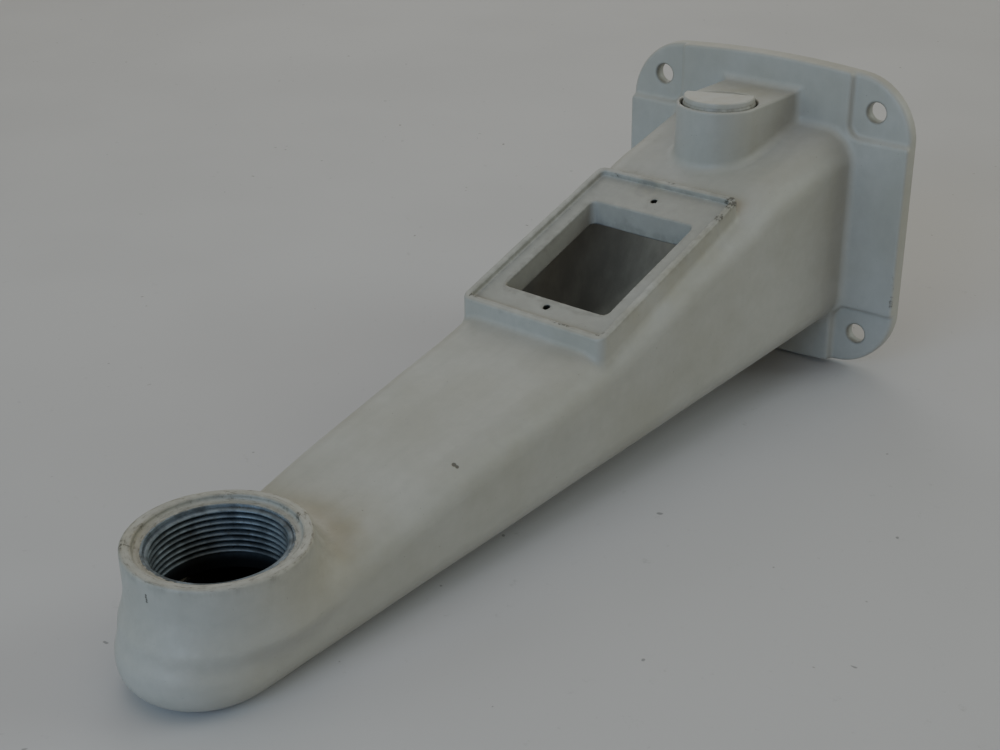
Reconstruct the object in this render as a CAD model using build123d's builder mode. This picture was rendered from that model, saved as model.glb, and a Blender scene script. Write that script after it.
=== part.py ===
from build123d import *
import math
import os

# Hollow cast wall-mount arm with a pipe-threaded end ring, an access window and a plugged conduit boss.
# Millimetres. The origin is the centre of the wall-hole pattern on the flange's wall face.
# The wall is the plane y = 0, the arm reaches towards -Y, and the ring, the window and the plug face +Z.

# ---------------------------------------------------------------- driving dimensions
# arm
wall = 5.5
arm_reach = 337.6
root_half_width = 46.8
root_top = 43.2
root_bottom = -48.0
root_top_corner = 14.0
root_bottom_corner = 17.5
end_top = -47.0
end_bottom = -72.0
end_top_corner = 12.0
end_bottom_corner = 11.5
# stations of the arm: share of the reach, share of the drop of its top. The top leaves the wall gently,
# falls fastest under the window, and eases out again towards the ring.
arm_stations = ((0.0, 0.0), (0.065, 0.053), (0.13, 0.108), (0.186, 0.155), (0.246, 0.241), (0.37, 0.401),
                (0.509, 0.577), (0.66, 0.69), (0.814, 0.812), (0.917, 0.911), (1.0, 1.0))

# flange
flange_margin = 24.2
flange_height = 137.0
flange_bow = 5.0
flange_corner = 25.0
flange_thickness = 8.0
pad_depth = 2.0
pad_width = 28.0
pad_height = 29.5
pad_corner = 6.0
hole_edge_x = 17.025
hole_edge_z = 17.7
hole_radius = 4.25

# end ring and its pipe thread
thread_major_radius = 24.02
thread_depth = 1.67
thread_pitch = 2.209
thread_turns = 8
thread_lead_in = 1.2
ring_wall = 7.18
ring_lip = 4.2
ring_recess_depth = 2.0
ring_setback = 9.6
ring_rise = 22.3
ring_skirt = 3.0
ring_blend = 7.0
end_wall = 4.48

# window
window_far_y = -79.4
window_near_y = -171.6
window_far_rise = 6.3
window_near_rise = 6.95
window_half_width = 35.0
window_corner = 4.0
window_lip = 3.0
window_ledge_depth = 2.5
window_wall_depth = 13.0
opening_half_width = 25.2
opening_length = 61.0
opening_shift = 1.5
opening_corner = 2.5
cover_screw_spacing = 74.7
cover_screw_shift = 0.4
cover_screw_radius = 1.25
cover_screw_depth = 7.0

# conduit boss, plug and seal
boss_top = 55.0
boss_half_width = 18.0
boss_centre_y = -43.5
boss_rim = 1.7
boss_bore_clearance = 0.35
head_gap = 0.9
head_thickness = 2.4
seal_width = 2.4
seal_thickness = 1.6
seal_gap = 0.2
plug_shank_length = 16.0
plug_wall = 2.6
plug_pitch = 1.814
plug_thread_share = 0.54
grip_height = 2.8
grip_angle = 21.0
grip_chord_offset = 3.0
grip_edge_inset = 0.4

# shape shared by both threads: half the groove's width at its mouth and at its root, in pitches
groove_mouth = 0.42
groove_root = 0.06
overcut = 0.1

# ---------------------------------------------------------------- sizes that follow
end_half_width = thread_major_radius + end_wall
flange_width = 2 * (root_half_width + flange_margin)
thread_minor_radius = thread_major_radius - thread_depth
ring_radius = thread_major_radius + ring_wall
ring_recess_radius = ring_radius - ring_lip
ring_reach = arm_reach - ring_setback
ring_top = end_top + ring_rise
ring_foot = end_top - ring_skirt
thread_start = ring_top - ring_recess_depth - thread_lead_in
bore_bottom = end_top - wall

counterbore_radius = boss_half_width - boss_rim
head_radius = counterbore_radius - head_gap
plug_thread_radius = head_radius - seal_width
boss_bore_radius = plug_thread_radius + boss_bore_clearance
head_underside = boss_top - head_thickness
counterbore_floor = head_underside - seal_thickness
plug_bottom = head_underside - plug_shank_length
plug_thread_count = int((plug_shank_length - seal_thickness - plug_pitch) / plug_pitch)


def arm_section(share, drop, inset):
    """Half width, top, bottom and corner radii of the arm at one station, drawn in by the inset."""
    half_width = root_half_width + (end_half_width - root_half_width) * share - inset
    top = root_top + (end_top - root_top) * drop - inset
    bottom = root_bottom + (end_bottom - root_bottom) * share + inset
    top_corner = root_top_corner + (end_top_corner - root_top_corner) * share - inset
    bottom_corner = root_bottom_corner + (end_bottom_corner - root_bottom_corner) * share - inset
    return half_width, top, bottom, max(top_corner, 1.0), max(bottom_corner, 1.0)


def arm_top_at(y):
    """Height of the arm's top at a distance from the wall, along straight lines between its stations."""
    share = -y / arm_reach
    for (near, near_drop), (far, far_drop) in zip(arm_stations, arm_stations[1:]):
        if near <= share <= far:
            drop = near_drop + (far_drop - near_drop) * (share - near) / (far - near)
            return root_top + (end_top - root_top) * drop
    return end_top


def arm_shape(inset, start):
    """The arm's tapered tube as a loft from the wall, closed by a round end."""
    with BuildPart() as tube:
        for share, drop in arm_stations:
            half_width, top, bottom, top_corner, bottom_corner = arm_section(share, drop, inset)
            distance = arm_reach * share if share > 0.0 else start
            with BuildSketch(Plane.XZ.offset(distance)) as section:
                with BuildLine():
                    Polyline((-half_width, bottom), (half_width, bottom),
                             (half_width, top), (-half_width, top), close=True)
                make_face()
                fillet(section.vertices().group_by(Axis.Y)[-1], radius=top_corner)
                fillet(section.vertices().group_by(Axis.Y)[0], radius=bottom_corner)
        loft()
        with BuildSketch(Plane.XZ.offset(arm_reach)) as end:
            with BuildLine():
                Polyline((0, bottom), (half_width, bottom), (half_width, top), (0, top), close=True)
            make_face()
            fillet(end.vertices().group_by(Axis.X)[-1].sort_by(Axis.Y)[-1], radius=top_corner)
            fillet(end.vertices().group_by(Axis.X)[-1].sort_by(Axis.Y)[0], radius=bottom_corner)
        revolve(axis=Axis((0, -arm_reach, 0), (0, 0, 1)), revolution_arc=-180)
    return tube.part


def groove(crest_radius, root_radius, height, pitch):
    """Corners of one thread groove's section, cut from just past the crest to the root."""
    mouth = crest_radius + math.copysign(overcut, crest_radius - root_radius)
    return ((mouth, height + groove_mouth * pitch), (root_radius, height + groove_root * pitch),
            (root_radius, height - groove_root * pitch), (mouth, height - groove_mouth * pitch))


# The window's rim slopes with the arm's top. Its plane has local Y running down the slope to the ring.
window_far_point = Vector(0, window_far_y, arm_top_at(window_far_y) + window_far_rise)
window_near_point = Vector(0, window_near_y, arm_top_at(window_near_y) + window_near_rise)
window_slope = window_near_point - window_far_point
window_length = window_slope.length
window_plane = Plane(origin=(window_far_point + window_near_point) * 0.5, x_dir=(-1, 0, 0),
                     z_dir=Vector(-1, 0, 0).cross(window_slope))
down = (0, 0, -1)

ring_axis = Axis((0, -ring_reach, 0), (0, 0, 1))
ring_plane = Plane(origin=(0, -ring_reach, 0), x_dir=(1, 0, 0), z_dir=(0, -1, 0))
plug_axis = Axis((0, boss_centre_y, 0), (0, 0, 1))
plug_plane = Plane(origin=(0, boss_centre_y, 0), x_dir=(1, 0, 0), z_dir=(0, -1, 0))
boss_foot = arm_top_at(boss_centre_y - boss_half_width) - wall

arm_outside = arm_shape(0.0, 0.0)
arm_cavity = arm_shape(wall, -1.0)

os.makedirs("parts", exist_ok=True)

# ---------------------------------------------------------------- arm casting
flange_half_width = flange_width / 2
side_half_height = flange_height / 2 - flange_bow

with BuildPart() as arm_casting:
    # wall flange: straight sides, bowed top and bottom, round corners
    with BuildSketch(Plane.XZ) as flange_outline:
        with BuildLine():
            Line((flange_half_width, -side_half_height), (flange_half_width, side_half_height))
            ThreePointArc((flange_half_width, side_half_height), (0, flange_height / 2),
                          (-flange_half_width, side_half_height))
            Line((-flange_half_width, side_half_height), (-flange_half_width, -side_half_height))
            ThreePointArc((-flange_half_width, -side_half_height), (0, -flange_height / 2),
                          (flange_half_width, -side_half_height))
        make_face()
        fillet(flange_outline.vertices(), radius=flange_corner)
    extrude(amount=flange_thickness)
    # four corner pads for the bolt heads, sunk into the front and open to the edge
    with BuildSketch(Plane.XZ.offset(flange_thickness - pad_depth)) as pads:
        with GridLocations(2 * (flange_width - pad_width), 2 * (flange_height - pad_height), 2, 2):
            RectangleRounded(flange_width, flange_height, pad_corner)
    extrude(amount=pad_depth, mode=Mode.SUBTRACT)
    # the arm itself
    add(arm_outside)
    # conduit boss on top of the arm's root
    with BuildSketch(Plane.XY.offset(boss_top)) as boss_outline:
        with Locations((0, boss_centre_y)):
            Circle(boss_half_width)
        with Locations((0, boss_centre_y / 2)):
            Rectangle(2 * boss_half_width, -boss_centre_y)
    extrude(amount=boss_foot - boss_top)
    # end ring, drawn in under its foot to meet the arm
    with BuildSketch(ring_plane) as ring_profile:
        with BuildLine():
            Polyline((0, ring_foot - ring_blend), (end_half_width, ring_foot - ring_blend),
                     (ring_radius, ring_foot), (ring_radius, ring_top), (0, ring_top), close=True)
        make_face()
    revolve(axis=ring_axis)
    # hollow inside, open at the wall
    add(arm_cavity, mode=Mode.SUBTRACT)
    # window collar: upright walls under a sloping rim, a ledge sunk square to the rim for a cover,
    # and the opening
    with BuildSketch(window_plane) as collar:
        RectangleRounded(2 * window_half_width, window_length, window_corner)
    extrude(amount=window_wall_depth, dir=down)
    with BuildSketch(window_plane) as ledge:
        RectangleRounded(2 * (window_half_width - window_lip), window_length - 2 * window_lip,
                         window_corner - window_lip / 2)
    extrude(amount=-window_ledge_depth, mode=Mode.SUBTRACT)
    with BuildSketch(window_plane) as opening:
        with Locations((0, opening_shift)):
            RectangleRounded(2 * opening_half_width, opening_length, opening_corner)
    extrude(amount=window_wall_depth + wall, dir=down, mode=Mode.SUBTRACT)
    with Locations(window_plane.offset(-window_ledge_depth)):
        with Locations((0, cover_screw_shift)):
            with GridLocations(0, cover_screw_spacing, 1, 2):
                Hole(radius=cover_screw_radius, depth=cover_screw_depth)
    # ring bore: sunk face, lead-in, then thread grooves that leave crests at the minor radius
    with BuildSketch(ring_plane) as bore_profile:
        with BuildLine():
            Polyline((0, bore_bottom), (thread_minor_radius, bore_bottom),
                     (thread_minor_radius, thread_start),
                     (thread_major_radius, thread_start + thread_lead_in),
                     (ring_recess_radius, thread_start + thread_lead_in), (ring_recess_radius, ring_top),
                     (0, ring_top), close=True)
        make_face()
        for turn in range(thread_turns):
            with BuildLine():
                Polyline(*groove(thread_minor_radius, thread_major_radius,
                                 thread_start - (turn + 0.5) * thread_pitch, thread_pitch), close=True)
            make_face()
    revolve(axis=ring_axis, mode=Mode.SUBTRACT)
    # conduit hole through the boss, with a counterbore for the plug's head and seal
    with Locations((0, boss_centre_y, boss_top)):
        CounterBoreHole(radius=boss_bore_radius, counter_bore_radius=counterbore_radius,
                        counter_bore_depth=boss_top - counterbore_floor, depth=boss_top - boss_foot + wall)
    # wall holes
    with Locations(Plane.XZ.offset(flange_thickness)):
        with GridLocations(flange_width - 2 * hole_edge_x, flange_height - 2 * hole_edge_z, 2, 2):
            Hole(radius=hole_radius, depth=flange_thickness)
arm_casting.part.label = "arm_casting"
export_step(arm_casting.part, "parts/arm_casting.step")

# ---------------------------------------------------------------- seal under the plug's head
with BuildPart() as plug_seal:
    with BuildSketch(Plane.XY.offset(counterbore_floor)) as seal_ring:
        with Locations((0, boss_centre_y)):
            Circle(head_radius)
            Circle(plug_thread_radius + seal_gap, mode=Mode.SUBTRACT)
    extrude(amount=seal_thickness)
plug_seal.part.label = "plug_seal"
export_step(plug_seal.part, "parts/plug_seal.step")

# ---------------------------------------------------------------- conduit plug
with BuildPart() as conduit_plug:
    # cup-shaped plug: flush head, threaded shank, hollow from below
    with BuildSketch(plug_plane) as plug_profile:
        with BuildLine():
            Polyline((0, head_underside), (plug_thread_radius - plug_wall, head_underside),
                     (plug_thread_radius - plug_wall, plug_bottom), (plug_thread_radius, plug_bottom),
                     (plug_thread_radius, head_underside), (head_radius, head_underside),
                     (head_radius, boss_top), (0, boss_top), close=True)
        make_face()
        for turn in range(plug_thread_count):
            with BuildLine():
                Polyline(*groove(plug_thread_radius, plug_thread_radius - plug_thread_share * plug_pitch,
                                 plug_bottom + (turn + 1) * plug_pitch, plug_pitch), close=True)
            make_face(mode=Mode.SUBTRACT)
    revolve(axis=plug_axis)
    # raised half-moon grip
    grip_direction = Vector(1, 0, 0).rotate(Axis.Z, grip_angle)
    grip_plane = Plane(origin=(0, boss_centre_y, boss_top), x_dir=grip_direction, z_dir=(0, 0, 1))
    with BuildSketch(grip_plane) as grip:
        Circle(head_radius - grip_edge_inset)
        with Locations((0, grip_chord_offset)):
            Rectangle(2 * head_radius, head_radius, align=(Align.CENTER, Align.MIN), mode=Mode.SUBTRACT)
    extrude(amount=grip_height)
conduit_plug.part.label = "conduit_plug"
export_step(conduit_plug.part, "parts/conduit_plug.step")
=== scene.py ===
"""Wall mount arm: the looks of a painted hollow casting with a threaded end ring and a plugged boss.

Every main shape is a distance field, in metres, drawn out as a mesh. The field is negative inside the
metal. Joining two fields softly leaves the fillet that a mould leaves between two walls.
"""
import math
from functools import partial
from itertools import product

import bpy
import numpy as np
from bpy.props import FloatProperty, FloatVectorProperty, IntProperty, PointerProperty
from mathutils import Matrix, Vector


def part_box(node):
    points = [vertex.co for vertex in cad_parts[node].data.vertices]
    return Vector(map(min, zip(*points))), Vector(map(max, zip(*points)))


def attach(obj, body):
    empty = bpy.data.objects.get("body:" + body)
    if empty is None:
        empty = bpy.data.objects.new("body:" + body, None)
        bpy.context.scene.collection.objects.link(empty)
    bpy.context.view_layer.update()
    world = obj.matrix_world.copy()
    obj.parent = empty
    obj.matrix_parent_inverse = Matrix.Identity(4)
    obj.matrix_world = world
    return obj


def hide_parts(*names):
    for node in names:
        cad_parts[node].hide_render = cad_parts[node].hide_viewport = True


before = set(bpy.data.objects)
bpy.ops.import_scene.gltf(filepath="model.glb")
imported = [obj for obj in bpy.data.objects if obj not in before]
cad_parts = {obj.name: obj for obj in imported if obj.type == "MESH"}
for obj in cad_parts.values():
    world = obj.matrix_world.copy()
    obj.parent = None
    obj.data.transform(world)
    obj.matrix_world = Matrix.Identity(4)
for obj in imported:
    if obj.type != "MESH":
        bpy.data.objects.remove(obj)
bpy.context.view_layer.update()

bl_info = {
    "name": "Wall Mount Arm",
    "version": (1, 0, 0),
    "blender": (4, 5, 0),
    "location": "View3D > Sidebar > Wall Arm",
    "description": "Makes a painted cast wall arm with an access window, a conduit plug and a threaded ring",
    "category": "Add Mesh",
}

MM = 0.001


# ---------------------------------------------------------------- sizes and colours
def length(name, description, millimetres):
    """A length that a user may change, shown in the scene's unit."""
    return FloatProperty(name=name, description=description, default=millimetres * MM, unit="LENGTH",
                         precision=5)


def from_hex(text):
    """Linear RGB of an sRGB hex colour."""
    channels = [int(text[i:i + 2], 16) / 255 for i in (1, 3, 5)]
    return tuple(c / 12.92 if c <= 0.04045 else ((c + 0.055) / 1.055) ** 2.4 for c in channels)


def colour(name, description, text):
    """A colour that a user may change, given as sRGB hex."""
    return FloatVectorProperty(name=name, description=description, subtype="COLOR", size=3, min=0, max=1,
                               default=from_hex(text))


class ArmSizes(bpy.types.PropertyGroup):
    reach: length("Reach", "Wall to the centre of the arm's round end", 337.6)
    wall: length("Wall", "Thickness of the cast walls", 5.5)
    root_half_width: length("Root half width", "Half the arm's width at the wall", 46.8)
    root_top: length("Root top", "Height of the arm's top at the wall", 43.2)
    root_bottom: length("Root bottom", "Height of the arm's underside at the wall", -48.0)
    root_top_corner: length("Root top corner", "Corner radius of the top edges at the wall", 14.0)
    root_bottom_corner: length("Root bottom corner", "Corner radius of the lower edges at the wall", 17.5)
    end_half_width: length("End half width", "Radius of the arm's round end", 28.5)
    end_top: length("End top", "Height of the arm's top at its end", -47.0)
    end_bottom: length("End bottom", "Height of the arm's underside at its end", -72.0)
    end_top_corner: length("End top corner", "Corner radius of the top edge at the end", 12.0)
    end_bottom_corner: length("End bottom corner", "Corner radius of the lower edge at the end", 11.5)


class FlangeSizes(bpy.types.PropertyGroup):
    width: length("Width", "Width of the wall flange", 142.0)
    height: length("Height", "Height of the wall flange in its middle", 137.0)
    bow: length("Bow", "How far the top and bottom edges bow out", 5.0)
    corner: length("Corner", "Radius of the flange's corners", 25.0)
    thickness: length("Thickness", "Thickness of the flange", 8.0)
    swell: length("Swell", "How much the side panels thicken towards the arm", 0.9)
    pad_depth: length("Pad depth", "How far the bolt pads are sunk", 2.0)
    pad_width: length("Pad width", "Width of a bolt pad", 28.0)
    pad_height: length("Pad height", "Height of a bolt pad", 29.5)
    pad_corner: length("Pad corner", "Inner corner radius of a bolt pad", 6.0)
    hole_edge_x: length("Hole to side", "Wall hole centre to the flange's side", 17.025)
    hole_edge_z: length("Hole to top", "Wall hole centre to the flange's top", 17.7)
    hole_radius: length("Hole radius", "Radius of a wall hole", 4.25)


class RingSizes(bpy.types.PropertyGroup):
    setback: length("Setback", "Ring axis behind the centre of the arm's end", 9.6)
    radius: length("Radius", "Outer radius of the end ring", 31.2)
    rise: length("Rise", "Ring's rim above the arm's end", 22.3)
    lip: length("Lip", "Width of the ring's flat rim", 4.2)
    recess: length("Recess", "Drop from the rim to the sunk face", 2.0)
    lead_in: length("Lead-in", "Depth of the cone that leads into the thread", 1.2)
    skirt: length("Skirt", "How far the ring's wall reaches below the arm's end top", 0.0)
    draw_in: length("Draw-in", "Height over which the ring's foot draws in to the arm's end", 16.0)
    major_radius: length("Thread major radius", "Radius at the thread's roots", 24.02)
    thread_depth: length("Thread depth", "Depth of the thread", 1.67)
    pitch: length("Thread pitch", "Advance of the pipe thread in one turn", 2.209)
    turns: FloatProperty(name="Thread turns", description="Turns of the pipe thread", default=8.4)


class WindowSizes(bpy.types.PropertyGroup):
    far_y: length("Far edge", "Rim's edge nearest the wall", -79.4)
    near_y: length("Near edge", "Rim's edge nearest the ring", -171.6)
    far_height: length("Far height", "Height of the rim at its far edge", 29.16)
    near_height: length("Near height", "Height of the rim at its near edge", -1.81)
    half_width: length("Half width", "Half the width of the rim", 35.0)
    corner: length("Corner", "Corner radius of the rim", 4.0)
    lip: length("Lip", "Width of the rim's raised lip", 3.0)
    ledge_depth: length("Ledge depth", "How far the cover's ledge is sunk", 2.5)
    wall_depth: length("Wall depth", "Depth of the window's wall under its rim", 13.0)
    opening_half_width: length("Opening half width", "Half the width of the opening", 25.2)
    opening_length: length("Opening length", "Length of the opening along the slope", 61.0)
    opening_shift: length("Opening shift", "Opening's centre beyond the rim's centre", 1.5)
    opening_corner: length("Opening corner", "Corner radius of the opening", 2.5)
    screw_spacing: length("Screw spacing", "Distance between the cover's screw holes", 74.7)
    screw_shift: length("Screw shift", "Middle of the screw holes beyond the rim's centre", 0.4)
    screw_radius: length("Screw radius", "Radius of a cover screw hole", 1.25)
    screw_depth: length("Screw depth", "Depth of a cover screw hole", 7.0)


class BossSizes(bpy.types.PropertyGroup):
    top: length("Top", "Height of the conduit boss", 55.0)
    half_width: length("Half width", "Half the width of the boss", 18.0)
    centre_y: length("Centre", "Plug axis from the wall", -43.5)
    rim: length("Rim", "Width of the boss's rim round the plug", 1.7)
    gap: length("Gap", "Gap round the plug's head", 0.9)
    head_thickness: length("Head thickness", "Thickness of the plug's head", 2.4)
    seal_width: length("Seal width", "Width of the seal under the head", 2.4)
    seal_thickness: length("Seal thickness", "Thickness of the seal", 1.6)
    seal_gap: length("Seal gap", "Gap between the seal and the plug's shank", 0.2)
    shank: length("Shank", "Length of the plug's shank", 16.0)
    plug_wall: length("Plug wall", "Wall of the hollow plug", 2.6)
    clearance: length("Clearance", "Gap between the plug's thread and its hole", 0.35)
    pitch: length("Thread pitch", "Advance of the plug's thread in one turn", 1.814)
    thread_depth: length("Thread depth", "Depth of the plug's thread", 0.98)
    grip_height: length("Grip height", "How far the half-moon grip stands up", 2.8)
    grip_inset: length("Grip inset", "Grip's edge inside the head's edge", 0.4)
    grip_chord: length("Grip chord", "Grip's straight side beyond the plug axis", 3.0)
    grip_angle: FloatProperty(name="Grip angle", description="Turn of the grip's straight side from +X",
                              default=math.radians(21.0), unit="ROTATION")


class FinishColours(bpy.types.PropertyGroup):
    paint: colour("Paint", "Aged off-white paint", "#A6A7A4")
    stain: colour("Stain", "Yellowed grease worked into the paint", "#8F8763")
    # this colour is real grime, and is also laid as painted shade in corners, in the plug's hollows and, near
    # black, in the screw holes
    grime_and_shade: colour("Grime", "Grey dirt held in corners", "#57544B")
    chip: colour("Chip", "Dark oxidised metal under broken paint", "#55534D")
    inside: colour("Inside", "Unpainted cast wall of the hollow", "#979899")
    thread: colour("Thread", "Cut aluminium of the threads", "#7F8B97")
    rubber: colour("Rubber", "Seal rubber", "#15151A")
    floor: colour("Floor", "Pale table under the object", "#BFC0C5")


class ArmSettings(bpy.types.PropertyGroup):
    arm: PointerProperty(type=ArmSizes)
    flange: PointerProperty(type=FlangeSizes)
    ring: PointerProperty(type=RingSizes)
    window: PointerProperty(type=WindowSizes)
    boss: PointerProperty(type=BossSizes)
    colours: PointerProperty(type=FinishColours)
    cell: length("Cell", "Size of the cells that the casting's skin is drawn from", 0.75)
    most_triangles: IntProperty(name="Most triangles", description="Triangles left in the casting", default=185000)


def settings():
    return bpy.context.scene.wall_arm


# ---------------------------------------------------------------- fields
THREAD_SLEEVE = 0.7 * MM
RIPPLE = 0.08 * MM
# Fillets that the mould leaves where the arm meets the flange, the boss, the end ring and the window's collar
FLANGE_FILLET = 3.6 * MM
BOSS_FILLET = 3.8 * MM
RING_FILLET = 12.0 * MM
COLLAR_FILLET = 2.0 * MM
# Rounded edges of the hollow and of the cut holes
HOLLOW_EDGE = 2.0 * MM
CUT_EDGE = 0.8 * MM
# The boss widens towards its foot, and the ring's foot is drawn in past the arm's end
BOSS_DRAFT = 0.012
FOOT_INSET = 12.5 * MM


def soft_min(a, b, blend):
    """Union of two fields with a fillet about as large as the blend."""
    share = np.maximum(blend - np.abs(a - b), 0) / blend
    return np.minimum(a, b) - share * share * blend / 4


def soft_max(a, b, blend):
    """Intersection of two fields with a rounded edge about as large as the blend."""
    return -soft_min(-a, -b, blend)


def rounded(u, v, half_u, half_v, corner):
    """Flat rounded rectangle centred on the origin of u and v."""
    du = np.abs(u) - half_u + corner
    dv = np.abs(v) - half_v + corner
    return np.minimum(np.maximum(du, dv), 0) + np.hypot(np.maximum(du, 0), np.maximum(dv, 0)) - corner


# Stations of the arm: share of its reach, share of the drop of its top from the wall to the end
TOP_STATIONS = ((0.0, 0.0), (0.065, 0.053), (0.13, 0.108), (0.186, 0.155), (0.246, 0.241), (0.37, 0.401),
                (0.509, 0.577), (0.66, 0.69), (0.814, 0.812), (0.917, 0.911), (1.0, 1.0))


def top_drop(share):
    """Drop of the arm's top at a share of its reach, on a smooth curve through the stations."""
    places, drops = np.array(TOP_STATIONS).T
    slopes = np.gradient(drops, places)
    i = np.clip(np.searchsorted(places, share, side="right") - 1, 0, len(places) - 2)
    gap = places[i + 1] - places[i]
    t = (share - places[i]) / gap
    return ((1 + 2 * t) * (1 - t) ** 2 * drops[i] + t * (1 - t) ** 2 * gap * slopes[i]
            + t * t * (3 - 2 * t) * drops[i + 1] - t * t * (1 - t) * gap * slopes[i + 1])


def arm_field(x, y, z, inset):
    """The tapered tube and its round end, drawn in by the inset."""
    s = settings().arm
    share = np.clip(-y / s.reach, 0, 1)
    half_width = s.root_half_width + (s.end_half_width - s.root_half_width) * share - inset
    top = s.root_top + (s.end_top - s.root_top) * top_drop(share) - inset
    bottom = s.root_bottom + (s.end_bottom - s.root_bottom) * share + inset
    top_corner = s.root_top_corner + (s.end_top_corner - s.root_top_corner) * share - inset
    bottom_corner = s.root_bottom_corner + (s.end_bottom_corner - s.root_bottom_corner) * share - inset
    side = np.hypot(x, np.minimum(y + s.reach, 0))
    middle = (top + bottom) / 2
    corner = np.where(z > middle, top_corner, bottom_corner)
    return rounded(side, z - middle, half_width, (top - bottom) / 2, corner)


def flange_field(x, y, z):
    """Bowed plate with four sunk bolt pads."""
    s = settings().flange
    half_width = s.width / 2
    half_height = s.height / 2 - s.bow * (x / half_width) ** 2
    outline = rounded(x, z, half_width, half_height, s.corner)
    shoulder = half_width - 10 * MM
    inward = np.clip((shoulder - np.abs(x)) / (shoulder - settings().arm.root_half_width), 0, 1)
    front = -y - s.thickness - s.swell * inward
    plate = soft_max(soft_max(outline, front, 1.4 * MM), y, 0.8 * MM)
    pads = rounded(np.abs(x) - (s.width - s.pad_width), np.abs(z) - (s.height - s.pad_height),
                   s.width / 2, s.height / 2, s.pad_corner)
    sunk = soft_max(pads, y + s.thickness - s.pad_depth, 2.0 * MM)
    plate = soft_max(plate, -sunk, 2.4 * MM)
    hole = np.hypot(np.abs(x) - (s.width / 2 - s.hole_edge_x), np.abs(z) - (s.height / 2 - s.hole_edge_z))
    return soft_max(plate, s.hole_radius - hole, 1.0 * MM)


def ring_places():
    """Ring centre along Y, height of its rim, and height where its thread starts."""
    arm, ring = settings().arm, settings().ring
    rim = arm.end_top + ring.rise
    return -(arm.reach - ring.setback), rim, rim - ring.recess - ring.lead_in


def plug_places():
    """Radii of the counterbore, the head and the shank, then heights of the head's underside and the seat."""
    boss = settings().boss
    counterbore = boss.half_width - boss.rim
    head = counterbore - boss.gap
    underside = boss.top - boss.head_thickness
    return counterbore, head, head - boss.seal_width, underside, underside - boss.seal_thickness


def window_rim(y):
    """Height of the sloping rim's plane, and the cosine of its slope."""
    s = settings().window
    slope = (s.far_height - s.near_height) / (s.far_y - s.near_y)
    return s.near_height + (y - s.near_y) * slope, 1 / math.hypot(1, slope)


def with_boss(body, x, y, z):
    """Adds the conduit boss, which stands on the arm and ends inside it."""
    boss = settings().boss
    radius = boss.half_width + (boss.top - z) * BOSS_DRAFT
    plan = np.hypot(x, np.minimum(y - boss.centre_y, 0)) - radius
    block = soft_max(soft_max(plan, z - boss.top, 1.2 * MM), y + 1.0 * MM, 0.5 * MM)
    return soft_min(body, np.maximum(block, -z), BOSS_FILLET)


def with_ring(body, x, y, z):
    """Adds the end ring, whose foot draws in until the arm's end swallows it."""
    arm, ring = settings().arm, settings().ring
    ring_y, rim, _ = ring_places()
    lower = np.clip((arm.end_top - ring.skirt - z) / ring.draw_in, 0, 1)
    drawn = lower * lower * (3 - 2 * lower) * (ring.radius - arm.end_half_width + FOOT_INSET)
    drum = soft_max(np.hypot(x, y - ring_y) - ring.radius + drawn, z - rim, 1.3 * MM)
    return soft_min(body, np.maximum(drum, arm.end_bottom + RING_FILLET - z), RING_FILLET)


def with_window(body, x, y, z):
    """Adds the window's collar, then cuts the cover's ledge, the opening and the two screw holes."""
    window = settings().window
    rim_height, cosine = window_rim(y)
    sine = math.sqrt(1 - cosine * cosine)
    centre = (window.far_y + window.near_y) / 2
    half_length = (window.far_y - window.near_y) / 2
    above = (z - rim_height) * cosine
    plan = rounded(x, y - centre, window.half_width, half_length, window.corner)
    collar = soft_max(soft_max(plan, above, 0.9 * MM), -above - window.wall_depth * cosine, 1.0 * MM)
    body = soft_min(body, collar, COLLAR_FILLET)
    lean = (rim_height - z) * sine * cosine
    plan = rounded(x, y - centre - lean, window.half_width - window.lip, half_length - window.lip,
                   window.corner / 2)
    body = soft_max(body, -soft_max(plan, -above - window.ledge_depth, 0.7 * MM), 0.7 * MM)
    plan = rounded(x, y - centre + window.opening_shift * cosine, window.opening_half_width,
                   window.opening_length / 2 * cosine, window.opening_corner)
    cut = np.maximum(plan, -above - (window.wall_depth + settings().arm.wall) * cosine)
    body = soft_max(body, -cut, CUT_EDGE)
    # the screws are square to the rim
    along = (y - centre) / cosine + window.screw_shift + above * sine / cosine
    screw = np.hypot(x, np.abs(along) - window.screw_spacing / 2) - window.screw_radius
    screw = np.maximum(screw, -above - window.ledge_depth - window.screw_depth)
    return soft_max(body, -screw, 0.4 * MM)


def with_bores(body, x, y, z):
    """Cuts the ring's sunk face and bore, and the counterbore and hole for the plug."""
    arm, ring, boss = settings().arm, settings().ring, settings().boss
    ring_y, rim, _ = ring_places()
    radial = np.hypot(x, y - ring_y)
    sunk = soft_max(radial - (ring.radius - ring.lip), rim - ring.recess - z, 1.2 * MM)
    bore = np.maximum(radial - ring.major_radius - THREAD_SLEEVE / 2, arm.end_top - arm.wall - z)
    body = soft_max(body, -np.minimum(sunk, bore), CUT_EDGE)
    counterbore, _, shank, _, seat = plug_places()
    radial = np.hypot(x, y - boss.centre_y)
    wide = np.maximum(radial - counterbore, seat - z)
    narrow = np.maximum(radial - shank - boss.clearance - THREAD_SLEEVE / 2, -z)
    return soft_max(body, -np.minimum(wide, narrow), CUT_EDGE)


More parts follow.
